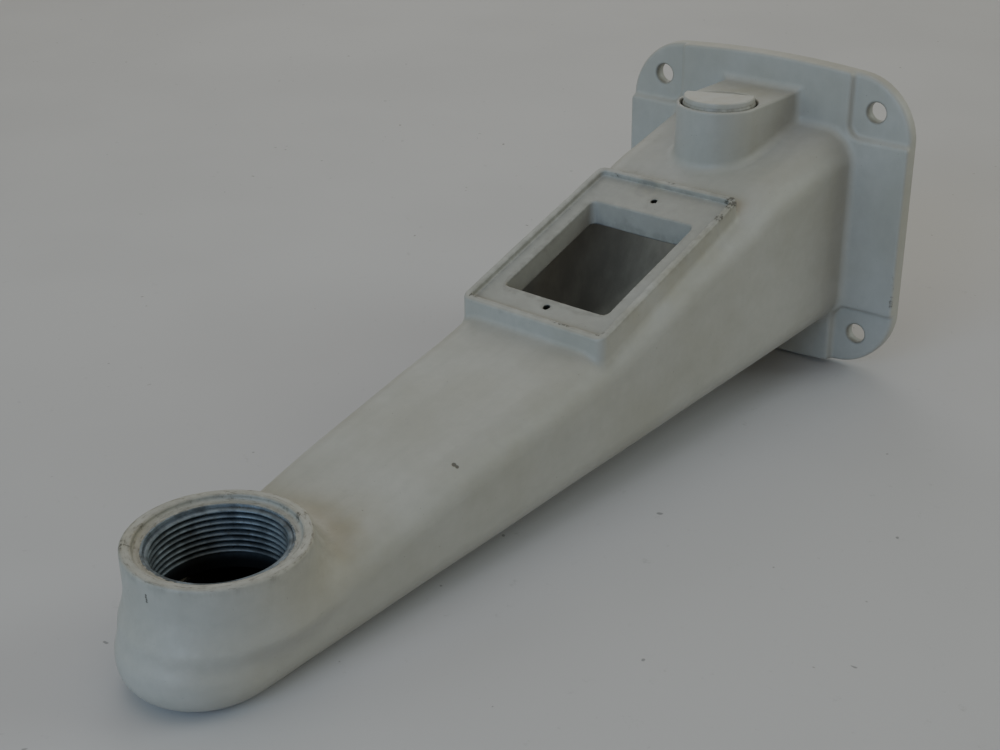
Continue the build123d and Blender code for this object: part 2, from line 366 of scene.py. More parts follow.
def casting_field(x, y, z):
    """The whole casting. Threads are cut as their own sleeves, so their holes are left a little wide."""
    outside = soft_max(arm_field(x, y, z, 0.0), y + 1.0 * MM, 0.5 * MM)
    body = soft_min(outside, flange_field(x, y, z), FLANGE_FILLET)
    body = with_ring(with_boss(body, x, y, z), x, y, z)
    body = soft_max(body, -arm_field(x, y, z, settings().arm.wall), HOLLOW_EDGE)
    body = with_bores(with_window(body, x, y, z), x, y, z)
    # gentle unevenness of a hand-poured and painted wall
    ripple = np.sin(x / (9.0 * MM) + 1.3) * np.sin(y / (13.0 * MM)) * np.sin(z / (11.0 * MM) + 0.6)
    return np.maximum(body + RIPPLE * (1 + ripple), y)


def plug_field(x, y, z):
    """Cup-shaped plug with a flush head and a half-moon grip; its thread is added as a helix."""
    boss = settings().boss
    _, head, shank, underside, _ = plug_places()
    v = y - boss.centre_y
    radial = np.hypot(x, v)
    disc = soft_max(soft_max(radial - head, z - boss.top, 0.9 * MM), underside - z, 0.4 * MM)
    bottom = underside - boss.shank
    stem = np.maximum(radial - shank + boss.thread_depth, z - underside - 0.5 * MM)
    body = np.minimum(disc, soft_max(stem, bottom - z, 0.8 * MM))
    body = np.maximum(body, -np.maximum(radial - shank + boss.plug_wall, z - underside))
    beyond = -x * math.sin(boss.grip_angle) + v * math.cos(boss.grip_angle) - boss.grip_chord
    moon = soft_max(radial - head + boss.grip_inset, beyond, 0.5 * MM)
    moon = soft_max(moon, z - boss.top - boss.grip_height, 0.6 * MM)
    moon = np.maximum(moon, boss.top - 1.5 * MM - z)
    return soft_min(body, moon, 0.6 * MM)


def seal_field(x, y, z):
    """Flat rubber ring with rolled edges."""
    boss = settings().boss
    _, head, shank, underside, seat = plug_places()
    inner = shank + boss.seal_gap
    around = np.hypot(x, y - boss.centre_y) - (head + inner) / 2
    return rounded(around, z - (underside + seat) / 2, (head - inner) / 2, (underside - seat) / 2, 0.6 * MM)


# ---------------------------------------------------------------- field to mesh
def sample(field, low, high, cell):
    """A field's values on a regular grid round a box, and the grid's lowest corner."""
    low = np.array(low, dtype=np.float32) - 2.5 * cell
    counts = np.ceil((np.array(high) - low) / cell).astype(int) + 4
    axes = [(low[i] + cell * np.arange(counts[i])).astype(np.float32) for i in range(3)]
    values = np.empty(counts, dtype=np.float32)
    slab = 24
    for start in range(0, counts[1], slab):
        y = axes[1][start:start + slab]
        values[:, start:start + slab] = field(*np.meshgrid(axes[0], y, axes[2], indexing="ij", sparse=True))
    return values, low


def skin(values, low, cell):
    """Vertices and four-sided faces of the surface where the values change sign: a vertex in each crossed cell."""
    inside = values < 0
    shape = np.array(values.shape) - 1
    count = np.zeros(shape, dtype=np.uint8)
    for i, j, k in product((0, 1), repeat=3):
        count += inside[i:i + shape[0], j:j + shape[1], k:k + shape[2]]
    cells = np.argwhere((count > 0) & (count < 8))
    total = np.zeros((len(cells), 3))
    crossings = np.zeros((len(cells), 1))
    for axis, first, second in product(range(3), (0, 1), (0, 1)):
        near = cells + np.insert((first, second), axis, 0)
        far = near + np.eye(3, dtype=int)[axis]
        a, b = values[tuple(near.T)], values[tuple(far.T)]
        crossed = (a < 0) != (b < 0)
        place = near[crossed].astype(float)
        place[:, axis] += a[crossed] / (a[crossed] - b[crossed])
        total[crossed] += place
        crossings[crossed] += 1
    numbers = np.full(shape, -1, dtype=np.int32)
    numbers[tuple(cells.T)] = np.arange(len(cells), dtype=np.int32)
    faces = []
    for axis in range(3):
        u, v = np.roll(np.eye(3, dtype=int), -axis - 1, axis=0)[:2]
        start = [slice(1, -1)] * 3
        start[axis] = slice(0, -1)
        end = list(start)
        end[axis] = slice(1, None)
        a, b = inside[tuple(start)], inside[tuple(end)]
        for filled_first in (True, False):
            edges = np.argwhere((a != b) & (a == filled_first)) + 1
            edges[:, axis] -= 1
            quad = [numbers[tuple((edges - step).T)] for step in (0 * u, u, u + v, v)]
            faces.append(np.stack(quad if filled_first else quad[::-1], axis=1))
    return total / crossings * cell + low, np.concatenate(faces)


def slope_of(field, points, step=0.12 * MM):
    """Direction in which the field grows fastest at each point, with its steepness."""
    rises = [field(*(points + step * axis).T) - field(*(points - step * axis).T) for axis in np.eye(3)]
    return np.stack(rises, axis=1) / (2 * step)


def settle(field, points, cell):
    """Slides points along the field's slope onto its surface, half a cell at most."""
    for _ in range(2):
        slope = slope_of(field, points)
        move = slope * (field(*points.T) / np.maximum((slope ** 2).sum(1), 0.25))[:, None]
        size = np.maximum(np.linalg.norm(move, axis=1, keepdims=True), 1e-9)
        points = points - move * np.minimum(1, 0.5 * cell / size)
    return points


def linked(name, data):
    """A new object in the scene with the given data."""
    item = bpy.data.objects.new(name, data)
    bpy.context.scene.collection.objects.link(item)
    return item


def mesh_object(name, vertices, faces):
    """A smooth-shaded object from arrays of vertices and of faces with equal numbers of sides."""
    mesh = bpy.data.meshes.new(name)
    mesh.vertices.add(len(vertices))
    mesh.vertices.foreach_set("co", vertices.astype(np.float32).ravel())
    mesh.loops.add(faces.size)
    mesh.loops.foreach_set("vertex_index", faces.astype(np.int32).ravel())
    mesh.polygons.add(len(faces))
    mesh.polygons.foreach_set("loop_start", np.arange(0, faces.size, faces.shape[1], dtype=np.int32))
    mesh.update(calc_edges=True)
    mesh.validate()
    mesh.shade_smooth()
    return linked(name, mesh)


def bake_modifiers(piece):
    """Swaps the piece's mesh for its evaluated one and drops its modifiers."""
    graph = bpy.context.evaluated_depsgraph_get()
    mesh = bpy.data.meshes.new_from_object(piece.evaluated_get(graph))
    old = piece.data
    piece.modifiers.clear()
    piece.data = mesh
    bpy.data.meshes.remove(old)
    mesh.name = piece.name


def draw_field(name, field, low, high, cell, most_triangles, reach):
    """Mesh of a field, thinned where it is flat, with a record of where it is hollow and where it is sharp."""
    vertices, faces = skin(*sample(field, low, high, cell), cell)
    piece = mesh_object(name, settle(field, vertices, cell), faces)
    triangles = 2 * len(piece.data.polygons)
    if triangles > most_triangles:
        thin = piece.modifiers.new("Thin", "DECIMATE")
        thin.ratio = most_triangles / triangles
        bake_modifiers(piece)
        piece.data.shade_smooth()
    points = settle(field, vertex_places(piece), cell / 2)
    piece.data.vertices.foreach_set("co", points.astype(np.float32).ravel())
    normals = slope_of(field, points)
    normals /= np.maximum(np.linalg.norm(normals, axis=1, keepdims=True), 1e-9)
    inner_reach = reach * 0.6
    store(piece, "hollow", 1 - field(*(points + normals * reach).T) / reach)
    store(piece, "sharp", 1 + field(*(points - normals * inner_reach).T) / inner_reach)
    piece.data.normals_split_custom_set_from_vertices(normals.tolist())
    return piece, points


def vertex_places(piece):
    """The piece's vertices as an array."""
    points = np.empty(len(piece.data.vertices) * 3, dtype=np.float32)
    piece.data.vertices.foreach_get("co", points)
    return points.reshape(-1, 3).astype(float)


def store(piece, name, values):
    """Writes one number per vertex for the material to read."""
    numbers = piece.data.attributes.new(name, "FLOAT", "POINT")
    numbers.data.foreach_set("value", np.clip(values, 0, 1).astype(np.float32))


# ---------------------------------------------------------------- materials
TIMES = {"operation": "MULTIPLY"}
TIMES_PLUS = {"operation": "MULTIPLY_ADD"}
LARGER = {"operation": "MAXIMUM"}
SMOOTH = {"interpolation_type": "SMOOTHSTEP"}
COLOURED = {"data_type": "RGBA"}
PER_MM = 1 / MM


def add_node(tree, kind, *inputs, named=None, **values):
    """Adds one node with its settings, and gives its inputs, in order or by name, a constant or a link.

    A node given as an input stands for its first output in use. ShaderNode is left off a node's kind.
    """
    node = tree.nodes.new(kind if kind.startswith(("Geometry", "Node")) else "ShaderNode" + kind)
    for name, value in values.items():
        setattr(node, name, value)
    pairs = list(zip([socket for socket in node.inputs if socket.enabled], inputs))
    pairs += [(node.inputs[name], value) for name, value in (named or {}).items()]
    for socket, value in pairs:
        if isinstance(value, bpy.types.Node):
            value = next(output for output in value.outputs if output.enabled)
        if isinstance(value, bpy.types.NodeSocket):
            tree.links.new(value, socket)
        else:
            socket.default_value = value
    return node


def new_material(name):
    """An empty material, a function that adds nodes to it, and the place on the object."""
    material = bpy.data.materials.new(name)
    material.use_nodes = True
    material.node_tree.nodes.clear()
    add = partial(add_node, material.node_tree)
    return material, add, add("TexCoord").outputs["Object"]


def rgba(colour, share=1.0):
    """A colour for a socket, at a share of its brightness."""
    return (*(c * share for c in colour), 1.0)


def layer(add, base, share, strength, colour):
    """Lays a colour over the base, as thick as the share says times the strength."""
    if strength < 1:
        share = add("Math", share, strength, **TIMES)
    return add("Mix", share, base, colour, **COLOURED)


def any_blob(add, place, centres):
    """1 at the middle of each of several marks on the object, fading to 0 at the mark's radius."""
    total = None
    for centre, radius in centres:
        gap = add("VectorMath", place, [c * MM for c in centre], operation="DISTANCE")
        near = add("MapRange", gap, radius * MM, 0.0, **SMOOTH)
        total = near if total is None else add("Math", total, near, **LARGER)
    return total


def surface(add, named):
    """Ends a material in one principled surface."""
    add("OutputMaterial", add("BsdfPrincipled", named=named))


# Places, in millimetres, where paint has broken off the rims, and how far round each the damage spreads
CHIPPED = (((33, -83, 28), 8), ((30, -85, 27), 5), ((34, -93, 25), 4), ((-24, -84, 27), 4), ((-31, -170, -1), 5),
           ((31, -168, -1), 4), ((14, -170, -1), 8), ((40, -105, 18), 3), ((67, -8, -22), 8), ((68, -8, -31), 7),
           ((-20, -351, -25), 6), ((11, -302, -25), 5), ((-16, -301, -25), 5), ((2, -80, 29), 3))
# Single knocks: a scratch on the ring's wall, a pit on the arm's top and a speck on the boss's edge
KNOCKS = (((2.5, -359.1, -29.9), 0.8), ((2.4, -359.1, -30.7), 0.8), ((2.6, -359.1, -31.5), 0.8),
          ((2.5, -359.1, -32.3), 0.8), ((26.7, -244.8, -25.1), 1.6), ((27.8, -244.5, -25.7), 1.3),
          ((0, -61, 53), 0.8), ((-13, -57, 52), 0.7), ((38, -105, 19), 1.0), ((35.5, -124, 12), 0.9))
# Cover screw holes, painted near black as the shade inside them
SCREW_HOLE_SHADE = (((0, -89.2, 21.7), 3.6), ((0, -160.0, -2.1), 3.6))
# Wall holes, whose edges the bolts have marked
BOLTED = (((-54, -6, 50.8), 7.8), ((54, -6, 50.8), 7.8), ((-54, -6, -50.8), 7.8), ((54, -6, -50.8), 7.8))
# Places where handling and oil have dulled the paint
DULLED = (((0, -328, -25), 34), ((-8, -85, 26), 6))
# Places where grease has yellowed the paint
STAINED = (((12, -290, -34), 27), ((31, -298, -28), 27), ((41, -88, 25), 14), ((-20, -345, -26), 16),
           ((0, -22, 55), 22), ((-6, -84, 25), 12), ((38, -104, 17), 14), ((38, -126, 9), 15), ((38, -150, 2), 15))


# The scale of each noise below is one over the size of its blobs
def painted_casting():
    """Satin enamel over sand-cast aluminium: soft sheen, faint orange peel over the casting's grain."""
    colours, ring, window = settings().colours, settings().ring, settings().window
    material, add, place = new_material("satin_enamel_on_cast_aluminium")
    hollow, sharp, bare = (add("Attribute", attribute_name=name).outputs["Fac"]
                           for name in ("hollow", "sharp", "bare"))
    fine = add("TexNoise", place, PER_MM / 4, 5.0, 0.6)
    # the paint yellows and greys in slow clouds
    cloud = add("MapRange", add("TexNoise", place, PER_MM / 45, 3.0, 0.55), 0.35, 0.7, **SMOOTH)
    yellowed = [c * share for c, share in zip(colours.paint, (0.945, 0.935, 0.895))]
    base = add("Mix", cloud, rgba(colours.paint, 1.065), rgba(yellowed), **COLOURED)
    blotch = add("MapRange", add("TexNoise", place, PER_MM / 12, 3.0, 0.55), 0.15, 0.8, **SMOOTH)
    base = layer(add, base, add("Math", any_blob(add, place, STAINED), blotch, **TIMES), 0.43, rgba(colours.stain))
    # years of wiping leave faint streaks along the arm
    wiped = add("VectorMath", place, (1.0, 0.12, 0.6), **TIMES)
    streak = add("MapRange", add("TexNoise", wiped, PER_MM / 5, 5.0, 0.65), 0.35, 0.75, **SMOOTH)
    base = layer(add, base, streak, 0.16, rgba(colours.paint, 0.68))
    base = layer(add, base, add("MapRange", fine, 0.3, 0.7, **SMOOTH), 0.12, rgba(colours.paint, 0.7))
    # handling and oil have dulled it
    dull = add("MapRange", any_blob(add, place, DULLED), 0.0, 0.25, **SMOOTH)
    dull = add("Math", dull, add("MapRange", fine, 0.2, 0.7, **SMOOTH), **TIMES)
    base = layer(add, base, dull, 1, rgba(colours.paint, 0.78))
    # pipes turned against the ring's rim have scratched it round and round, and dirt sits in the scratches
    ring_y, rim, _ = ring_places()
    from_ring = add("VectorMath", place, (0.0, ring_y, 0.0), operation="SUBTRACT")
    across, along, height = add("SeparateXYZ", from_ring).outputs
    radial = add("VectorMath", add("VectorMath", from_ring, (1.0, 1.0, 0.0), **TIMES), operation="LENGTH")
    angle = add("Math", along, across, operation="ARCTAN2")
    track = add("CombineXYZ", radial, add("Math", angle, 5 * MM, **TIMES))
    scratch = add("MapRange", add("TexNoise", track, PER_MM, 5.0, 0.75), 0.5, 0.68, **SMOOTH)
    near_top = add("MapRange", height, rim - 3.4 * MM, rim - 1.6 * MM, **SMOOTH)
    on_ring = add("MapRange", radial, ring.radius + 0.4 * MM, ring.radius - 0.8 * MM, **SMOOTH)
    scratch = add("Math", scratch, add("Math", near_top, on_ring, **TIMES), **TIMES)
    base = layer(add, base, scratch, 0.75, rgba(colours.grime_and_shade))
    # the sunk ledge inside the rim's lip and the walls of the opening below it are darker, in patches
    far, near = window.far_y - ring_y, window.near_y - ring_y
    from_middle = add("Math", along, (far + near) / 2, operation="SUBTRACT")
    covered = add("MapRange", fine, -0.3, 0.75, **SMOOTH)
    for offset, half in ((across, window.half_width), (from_middle, (far - near) / 2)):
        limit = half - window.lip
        within = add("MapRange", add("Math", offset, operation="ABSOLUTE"), limit + MM, limit - MM, **SMOOTH)
        covered = add("Math", covered, within, **TIMES)
    covered = add("Math", covered, add("MapRange", height, -30 * MM, -20 * MM, **SMOOTH), **TIMES)
    base = layer(add, base, covered, 0.55, rgba(colours.paint, 0.72))
    # the sharp edges of the window and the ring are rubbed, and bolts have marked the edges of the wall holes
    rubbed = add("Math", add("MapRange", sharp, 0.04, 0.4, **SMOOTH),
                 add("MapRange", fine, 0.25, 0.65, **SMOOTH), **TIMES)
    rubbed = add("Math", rubbed, add("MapRange", along, far + 4 * MM, far + MM, **SMOOTH), **TIMES)
    base = layer(add, base, rubbed, 0.24, rgba(colours.grime_and_shade))
    bolted = add("MapRange", any_blob(add, place, BOLTED), 0.2, 0.4, **SMOOTH)
    base = layer(add, base, bolted, 0.5, rgba(colours.grime_and_shade))
    # painted shade darkens the corners, broken up by noise; dirt lies in a few rubbed smears and in specks about a
    # millimetre across
    corner = add("Math", add("MapRange", hollow, 0.35, 1.0, **SMOOTH),
                 add("MapRange", fine, 0.3, 0.7, **SMOOTH), **TIMES)
    smear = add("MapRange", add("TexNoise", place, PER_MM / 26, 6.0, 0.7), 0.6, 0.78, **SMOOTH)
    dirt_and_corner_shade = add("Math", add("Math", corner, 0.55, **TIMES), add("Math", smear, 0.22, **TIMES), **LARGER)
    base = layer(add, base, dirt_and_corner_shade, 1, rgba(colours.grime_and_shade))
    speck = add("MapRange", add("TexNoise", place, PER_MM / 1.6, 2.0, 0.7), 0.735, 0.76, **SMOOTH)
    base = layer(add, base, speck, 0.5, rgba(colours.grime_and_shade))
    # chips on worn rims and single knocks show dark metal, and painted shade makes the screw holes darker still
    worn = add("Math", add("MapRange", sharp, 0.12, 0.4, **SMOOTH), any_blob(add, place, CHIPPED), **TIMES)
    ragged = add("MapRange", add("TexNoise", place, PER_MM / 2, 6.0, 0.75), 0.42, 0.62, **SMOOTH)
    chip = add("MapRange", add("Math", worn, ragged, **TIMES), 0.16, 0.5, **SMOOTH)
    chip = add("Math", chip, add("MapRange", any_blob(add, place, KNOCKS), 0.3, 0.6, **SMOOTH), **LARGER)
    base = layer(add, base, chip, 0.9, rgba(colours.chip))
    screw_hole_shade = add("MapRange", any_blob(add, place, SCREW_HOLE_SHADE), 0.38, 0.6, **SMOOTH)
    base = layer(add, base, screw_hole_shade, 1, rgba(colours.grime_and_shade, 0.15))
    # the hollow is left unpainted, and painted shade turns it almost black under the ring, deep in the tube
    grain = add("MapRange", add("TexNoise", place, PER_MM / 16, 6.0, 0.6), 0.35, 0.7, **SMOOTH)
    cast = add("Mix", grain, rgba(colours.inside, 0.75), rgba(colours.inside), **COLOURED)
    deep_shade = add("MapRange", along, -180 * MM - ring_y, -270 * MM - ring_y, **SMOOTH)
    cast = layer(add, cast, deep_shade, 1, rgba(colours.inside, 0.06))
    uneven = add("Math", add("Math", fine, 0.5, bare, **TIMES_PLUS), 0.25, operation="SUBTRACT")
    inside = add("MapRange", uneven, 0.45, 0.6, **SMOOTH)
    base = layer(add, base, inside, 1, cast)
    rough = add("Math", fine, 0.16, 0.40, **TIMES_PLUS)
    rough = add("Math", add("Math", inside, dirt_and_corner_shade, **LARGER), 0.18, rough, **TIMES_PLUS)
    # orange peel and grain, a few hundredths of a millimetre high
    peel = add("Bump", named={"Strength": 0.25, "Distance": 0.12 * MM,
                              "Height": add("TexNoise", place, PER_MM / 1.3, 3.0, 0.6)})
    pour = add("Bump", named={"Strength": 0.35, "Distance": 0.5 * MM, "Normal": peel,
                              "Height": add("TexNoise", place, PER_MM / 9, 3.0, 0.5)})
    flake = add("Bump", named={"Strength": 0.8, "Distance": 0.15 * MM, "Height": chip, "Normal": pour},
                invert=True)
    surface(add, {"Base Color": base, "Metallic": add("Math", inside, 0.3, **TIMES), "Roughness": rough,
                  "IOR": 1.5, "Normal": flake})
    return material


def painted_plug():
    """The same enamel on a smooth die-cast plug: a little glossier, with painted shade darkening its hollows."""
    colours, top = settings().colours, settings().boss.top
    material, add, place = new_material("satin_enamel_on_die_cast_plug")
    hollow = add("Attribute", attribute_name="hollow").outputs["Fac"]
    fine = add("TexNoise", place, PER_MM / 3, 5.0, 0.6)
    cloud = add("MapRange", add("TexNoise", place, PER_MM / 9, 3.0, 0.55), 0.4, 0.7, **SMOOTH)
    yellowed = [c * share for c, share in zip(colours.paint, (1.02, 0.99, 0.93))]
    base = add("Mix", cloud, rgba(colours.paint, 1.1), rgba(yellowed), **COLOURED)
    # painted shade darkens the plug's hollows
    base = layer(add, base, add("MapRange", hollow, 0.55, 1.0, **SMOOTH), 0.6, rgba(colours.grime_and_shade))
    # the sunk half of the head is dirtier than the grip
    height = add("SeparateXYZ", place).outputs["Z"]
    sunk = add("Math", add("MapRange", height, top + 1.2 * MM, top + 0.4 * MM, **SMOOTH),
               add("MapRange", fine, 0.1, 0.8, **SMOOTH), **TIMES)
    base = layer(add, base, sunk, 0.6, rgba(colours.grime_and_shade))
    peel = add("Bump", named={"Strength": 0.2, "Distance": 0.1 * MM,
                              "Height": add("TexNoise", place, PER_MM / 1.1, 3.0, 0.6)})
    surface(add, {"Base Color": base, "Roughness": add("Math", fine, 0.2, 0.3, **TIMES_PLUS), "IOR": 1.5,
                  "Normal": peel})
    return material


def cut_aluminium():
    """Machined cast aluminium: patchy, flecked with dirt, and blackened towards the bottom of the bore by painted
    shade.
    """
    colours, end_top = settings().colours, settings().arm.end_top
    material, add, place = new_material("cut_cast_aluminium_thread")
    patch = add("TexNoise", place, PER_MM / 7, 4.0, 0.6)
    fine = add("TexNoise", place, PER_MM / 1.5, 4.0, 0.6)
    base = add("Mix", add("MapRange", patch, 0.35, 0.65, **SMOOTH), rgba(colours.thread),
               rgba(colours.thread, 0.45), **COLOURED)
    base = layer(add, base, add("MapRange", fine, 0.58, 0.75, **SMOOTH), 1, rgba(colours.grime_and_shade))
    # painted shade blackens the deepest turns
    height = add("SeparateXYZ", place).outputs["Z"]
    deep_shade = add("MapRange", height, end_top + 4 * MM, end_top - 2 * MM, **SMOOTH)
    base = layer(add, base, deep_shade, 1, rgba(colours.thread, 0.12))
    surface(add, {"Base Color": base, "Metallic": 0.5, "Roughness": add("Math", patch, 0.3, 0.4, **TIMES_PLUS),
                  "Normal": add("Bump", named={"Strength": 0.4, "Distance": 0.15 * MM, "Height": fine})})
    return material


def seal_rubber():
    """Moulded nitrile rubber: near black, dull, with a dusty bloom."""
    rubber = settings().colours.rubber
    material, add, place = new_material("moulded_nitrile_rubber")
    bloom = add("TexNoise", place, PER_MM / 2.5, 4.0, 0.6)
    base = add("Mix", add("MapRange", bloom, 0.4, 0.8, **SMOOTH), rgba(rubber), rgba(rubber, 3), **COLOURED)
    surface(add, {"Base Color": base, "Roughness": add("Math", bloom, 0.2, 0.6, **TIMES_PLUS), "IOR": 1.52,
                  "Normal": add("Bump", named={"Strength": 0.3, "Distance": 0.08 * MM, "Height": bloom})})
    return material


def pale_laminate():
    """Matt pale laminate table with faint scuffs and a little dust."""
    floor = settings().colours.floor
    material, add, place = new_material("matt_pale_laminate")
    cloud = add("MapRange", add("TexNoise", place, PER_MM / 160, 3.0, 0.5), 0.3, 0.7, **SMOOTH)
    base = add("Mix", cloud, rgba(floor), rgba(floor, 0.95), **COLOURED)
    scuff = add("MapRange", add("TexNoise", place, PER_MM / 7, 6.0, 0.75), 0.62, 0.72, **SMOOTH)
    base = layer(add, base, scuff, 0.35, rgba(floor, 0.6))
    dust = add("MapRange", add("TexNoise", place, PER_MM / 5, 1.0, 0.5), 0.79, 0.82, **SMOOTH)
    base = layer(add, base, dust, 0.6, rgba(floor, 0.25))
    surface(add, {"Base Color": base, "Roughness": 0.65, "IOR": 1.45})
    return material


def material_once(make):
    """The material that a function makes, made the first time it is asked for."""
    if make.__name__ not in MADE:
        MADE[make.__name__] = make()
    return MADE[make.__name__]


MADE = {}


# ---------------------------------------------------------------- threads and bores
def thread_tree():
    """A helix of trapezoid section round an axis along Z, with its sizes as inputs."""
    tree = bpy.data.node_groups.get("Helical Thread")
    if tree:
        return tree
    tree = bpy.data.node_groups.new("Helical Thread", "GeometryNodeTree")
    tree.interface.new_socket("Geometry", in_out="OUTPUT", socket_type="NodeSocketGeometry")
    for name in ("Root Radius", "Height", "Root Width", "Crest Width", "Pitch", "Turns", "Base", "Centre Y",
                 "Side"):
        tree.interface.new_socket(name, in_out="INPUT", socket_type="NodeSocketFloat")
    tree.interface.new_socket("Material", in_out="INPUT", socket_type="NodeSocketMaterial")
    add = partial(add_node, tree)
    put = add("NodeGroupInput").outputs
    rise = add("Math", put["Pitch"], put["Turns"], **TIMES)
    path = add("GeometryNodeCurveSpiral",
               named={"Resolution": 72, "Rotations": put["Turns"], "Start Radius": put["Root Radius"],
                      "End Radius": put["Root Radius"], "Height": rise})
    upright = add("GeometryNodeSetCurveNormal", path, mode="Z_UP")
    # the thread fades in and out over its first and last third of a turn
    along = add("GeometryNodeSplineParameter").outputs["Factor"]
    nearest = add("Math", along, add("Math", 1.0, along, operation="SUBTRACT"), operation="MINIMUM")
    fade = add("MapRange", add("Math", nearest, put["Turns"], **TIMES), 0.0, 0.35, 0.05, 1.0)
    section = add("GeometryNodeCurvePrimitiveQuadrilateral", mode="TRAPEZOID",
                  named={"Bottom Width": put["Root Width"], "Top Width": put["Crest Width"], "Offset": 0.0,
                         "Height": put["Height"]})
    lift = add("CombineXYZ", 0.0, add("Math", put["Height"], 0.5, **TIMES))
    raised = add("GeometryNodeSetPosition", named={"Geometry": section, "Offset": lift})
    facing = add("CombineXYZ", 0.0, 0.0, add("Math", put["Side"], math.pi / 2, **TIMES))
    turned = add("GeometryNodeTransform", named={"Geometry": raised, "Rotation": facing})
    solid = add("GeometryNodeCurveToMesh",
                named={"Curve": upright, "Profile Curve": turned, "Scale": fade, "Fill Caps": True})
    where = add("CombineXYZ", 0.0, put["Centre Y"], put["Base"])
    placed = add("GeometryNodeTransform", named={"Geometry": solid, "Translation": where})
    real = add("GeometryNodeRealizeInstances", placed)
    add("NodeGroupOutput", add("GeometryNodeSetMaterial", named={"Geometry": real, "Material": put["Material"]}))
    return tree


def thread(name, radius, height, pitch, turns, base, centre_y, inward, material):
    """A thread standing on a wall of the given radius, inwards in a hole or outwards on a shank."""
    tree = thread_tree()
    piece = linked(name, bpy.data.meshes.new(name))
    modifier = piece.modifiers.new("Thread", "NODES")
    modifier.node_group = tree
    values = {"Root Radius": radius, "Height": height, "Root Width": pitch * 0.9, "Crest Width": pitch * 0.16,
              "Pitch": pitch, "Turns": turns, "Base": base, "Centre Y": centre_y,
              "Side": -1.0 if inward else 1.0, "Material": material}
    for item in tree.interface.items_tree:
        if item.in_out == "INPUT":
            modifier[item.identifier] = values[item.name]
    bake_modifiers(piece)
    return piece


def lathe(name, outline, centre_y, material, steps=144):
    """Closed solid turned about an axis along Z from a closed outline of (radius, height) corners."""
    radii, heights = np.array(outline).T
    rings = np.stack([np.stack([np.cos(a) * radii, centre_y + np.sin(a) * radii, heights], axis=1)
                      for a in np.linspace(0, 2 * math.pi, steps, endpoint=False)])
    here = np.arange(steps)[:, None] * len(radii) + np.arange(len(radii))
    beside = np.roll(here, -1, axis=0)
    faces = np.stack([here, beside, np.roll(beside, -1, axis=1), np.roll(here, -1, axis=1)], axis=-1)
    piece = mesh_object(name, rings.reshape(-1, 3), faces.reshape(-1, 4))
    piece.data.set_sharp_from_angle(angle=math.radians(30))
    piece.data.materials.append(material)
    return piece


class MakeCasting(bpy.types.Operator):
    """Draws the one-piece casting: flange, arm, boss, window collar and end ring."""
    bl_idname = "wall_arm.casting"
    bl_label = "Casting"

    def execute(self, context):
        window = settings().window
        low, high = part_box("arm_casting")
        cell = settings().cell * 1.0
        piece, points = draw_field("casting", casting_field, low, high, cell, settings().most_triangles, 2.4 * MM)
        x, y, z = points.T
        # the hollow is bare, but the paint runs down the window's wall to its lower edge
        bare = 1 - (arm_field(x, y, z, settings().arm.wall) - 0.3 * MM) / (1.6 * MM)
        rim_height, _ = window_rim(y)
        sprayed = (np.abs(x) < window.half_width) & (z > rim_height - window.wall_depth + 0.5 * MM)
        sprayed &= (y < window.far_y) & (y > window.near_y)
        sprayed |= y > -0.6 * MM
        store(piece, "bare", np.where(sprayed, 0, bare))
        piece.data.materials.append(material_once(painted_casting))
        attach(piece, "arm")
        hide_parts("arm_casting")
        return {"FINISHED"}


class MakeRingThread(bpy.types.Operator):
    """Cuts the pipe thread inside the end ring."""
    bl_idname = "wall_arm.ring_thread"
    bl_label = "Ring thread"

    def execute(self, context):
        ring, arm = settings().ring, settings().arm
        centre_y, _, start = ring_places()
        metal = material_once(cut_aluminium)
        root = ring.major_radius
        top = start + ring.lead_in - 0.25 * MM
        bottom = arm.end_top - arm.wall + 1.0 * MM
        outline = [(root + THREAD_SLEEVE, top), (root + 0.1 * MM, top), (root, top - 0.3 * MM), (root, bottom),
                   (root + THREAD_SLEEVE, bottom)]
        wall = lathe("ring_bore_wall", outline, centre_y, metal)
        base = start + 0.85 * MM - ring.turns * ring.pitch
        helix = thread("ring_thread", root + 0.05 * MM, ring.thread_depth, ring.pitch, ring.turns, base, centre_y,
                       True, metal)
        for piece in (wall, helix):
            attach(piece, "arm")
        return {"FINISHED"}


class MakeBossThread(bpy.types.Operator):
    """Lines the conduit boss's hole with a plain wall of cut aluminium; no thread is drawn."""
    bl_idname = "wall_arm.boss_thread"
    bl_label = "Boss thread"

    def execute(self, context):
        boss = settings().boss
        _, _, shank, _, seat = plug_places()
        radius = shank + boss.clearance
        top, bottom = seat - 0.3 * MM, seat - 20 * MM
        outline = [(radius + THREAD_SLEEVE, top), (radius, top), (radius, bottom),
                   (radius + THREAD_SLEEVE, bottom)]
        wall = lathe("boss_bore_wall", outline, boss.centre_y, material_once(cut_aluminium))
        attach(wall, "arm")
        return {"FINISHED"}


class MakePlug(bpy.types.Operator):
    """Makes the conduit plug with its thread and half-moon grip."""
    bl_idname = "wall_arm.plug"
    bl_label = "Conduit plug"

    def execute(self, context):
        boss = settings().boss
        _, _, shank, underside, _ = plug_places()
        low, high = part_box("conduit_plug")
        cell = 0.42 * MM * 1.0
        piece, _ = draw_field("plug", plug_field, low, high, cell, 60000, 1.0 * MM)
        piece.data.materials.append(material_once(painted_plug))
        turns = math.floor((boss.shank - boss.seal_thickness) / boss.pitch) - 0.8
        base = underside - boss.shank + 0.7 * MM + boss.pitch / 2
        helix = thread("plug_thread", shank - boss.thread_depth, boss.thread_depth - 0.05 * MM, boss.pitch, turns,
                       base, boss.centre_y, False, material_once(cut_aluminium))
        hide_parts("conduit_plug")
        for part in (piece, helix):
            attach(part, "plug")
        return {"FINISHED"}


